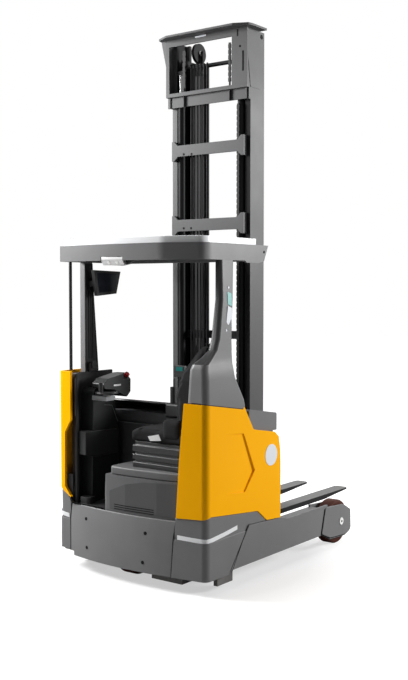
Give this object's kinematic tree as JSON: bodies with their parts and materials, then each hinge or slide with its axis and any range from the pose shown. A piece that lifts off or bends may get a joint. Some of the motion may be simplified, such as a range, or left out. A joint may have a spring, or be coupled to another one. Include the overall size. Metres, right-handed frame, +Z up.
{
  "type": "reach truck",
  "caption": "Electric reach truck: cross-seat cabin with overhead guard, wheeled load arms, and a nested mast that slides forward between them and carries tilting, side-shifting forks.",
  "frame": {"origin": "on the floor, at the centre of the whole truck's footprint box", "axes": "+X forward to the fork tips, +Y to the left, +Z up along the mast"},
  "size_m": [2.557, 1.274, 3.7],
  "materials": {
    "dark_frame": "satin black frame paint",
    "graphite_paint": "fine-textured graphite grey paint",
    "stage_paint": "satin black paint, oiled",
    "yellow_paint": "semi-gloss yellow paint",
    "bare_steel": "turned steel",
    "fork_steel": "worn grey paint on forged steel",
    "brown_tyre": "cast reddish-brown polyurethane",
    "black_plastic": "grained black moulding",
    "grey_plastic": "light grey moulding",
    "seat_cloth": "woven black seat cloth",
    "red_plastic": "red push button",
    "roof_plastic": "pale translucent roof sheet",
    "battery_case": "powder-coated steel trough"
  },
  "bodies": {
    "chassis": {"battery_block": "battery_case", "battery_cover": "graphite_paint", "bumper_centre": "graphite_paint", "cabin_floor": "black_plastic", "cabin_lamp": "grey_plastic", "cabin_liner_left": "black_plastic", "chassis_frame": "dark_frame", "control_armrest": "black_plastic", "display_monitor": "black_plastic", "drive_hood": "graphite_paint", "hood_lid": "graphite_paint", "load_arm_left": "graphite_paint", "load_arm_right": "graphite_paint", "load_axles": "bare_steel", "overhead_guard": "graphite_paint", "pillar_left": "grey_plastic", "pillar_shell_right": "graphite_paint", "rear_post_left": "black_plastic", "roof_panel": "roof_plastic", "seat_back": "seat_cloth", "seat_cushion": "seat_cloth", "seat_suspension": "black_plastic", "side_panel_left": "yellow_paint", "side_panel_right": "yellow_paint", "skirt_corner_left": "graphite_paint", "skirt_corner_right": "graphite_paint", "steering_console": "black_plastic", "steering_wheel": "black_plastic", "stop_button": "red_plastic", "wheel_bracket": "grey_plastic"},
    "drive_unit": {"drive_gearbox": "dark_frame", "drive_motor": "dark_frame"},
    "drive_wheel": {"drive_tyre": "brown_tyre", "drive_hub": "bare_steel"},
    "load_wheel_left": {"load_tyre_left": "brown_tyre", "load_hub_left": "bare_steel"},
    "load_wheel_right": {"load_tyre_right": "brown_tyre", "load_hub_right": "bare_steel"},
    "mast_base": {"reach_carriage": "stage_paint", "mast_column_left": "graphite_paint", "mast_column_right": "graphite_paint", "mast_crossbars": "graphite_paint", "mast_head": "graphite_paint", "lift_chains": "black_plastic", "lift_cylinders": "stage_paint"},
    "mast_middle_stage": {"mast_middle": "stage_paint", "lift_rods": "bare_steel"},
    "mast_inner_stage": {"mast_inner": "stage_paint", "hose_pulley": "black_plastic", "free_lift_cylinder": "stage_paint"},
    "fork_carriage_body": {"fork_carriage": "stage_paint"},
    "side_shift_body": {"side_shifter": "stage_paint"},
    "fork_body": {"tilt_frame": "stage_paint", "fork_left": "fork_steel", "fork_right": "fork_steel"}
  },
  "joints": [
    {"name": "steer", "type": "hinge", "parent": "chassis", "child": "drive_unit", "pos_m": [-1.0335, 0.085, 0.171], "axis": [0, 0, 1], "range_deg": [-90, 90]},
    {"name": "drive_spin", "type": "hinge", "parent": "drive_unit", "child": "drive_wheel", "pos_m": [-1.0335, 0.085, 0.171], "axis": [0, 1, 0], "continuous": true},
    {"name": "load_spin_left", "type": "hinge", "parent": "chassis", "child": "load_wheel_left", "pos_m": [0.4595, 0.557, 0.163], "axis": [0, 1, 0], "continuous": true},
    {"name": "load_spin_right", "type": "hinge", "parent": "chassis", "child": "load_wheel_right", "pos_m": [0.4595, -0.557, 0.163], "axis": [0, 1, 0], "continuous": true},
    {"name": "mast_reach", "type": "slide", "parent": "chassis", "child": "mast_base", "axis": [1, 0, 0], "range_m": [0, 0.56]},
    {"name": "middle_lift", "type": "slide", "parent": "mast_base", "child": "mast_middle_stage", "axis": [0, 0, 1], "range_m": [0, 2.85]},
    {"name": "inner_lift", "type": "slide", "parent": "mast_middle_stage", "child": "mast_inner_stage", "axis": [0, 0, 1], "range_m": [0, 2.85]},
    {"name": "fork_lift", "type": "slide", "parent": "mast_inner_stage", "child": "fork_carriage_body", "axis": [0, 0, 1], "range_m": [-0.18, 2.45]},
    {"name": "side_shift", "type": "slide", "parent": "fork_carriage_body", "child": "side_shift_body", "axis": [0, 1, 0], "range_m": [-0.075, 0.075]},
    {"name": "fork_tilt", "type": "hinge", "parent": "side_shift_body", "child": "fork_body", "pos_m": [0.0485, 0, 0.3], "axis": [0, -1, 0], "range_deg": [-2, 5]}
  ],
  "couplings": [
    {"joint": "inner_lift", "follows": "middle_lift", "ratio": 1}
  ]
}
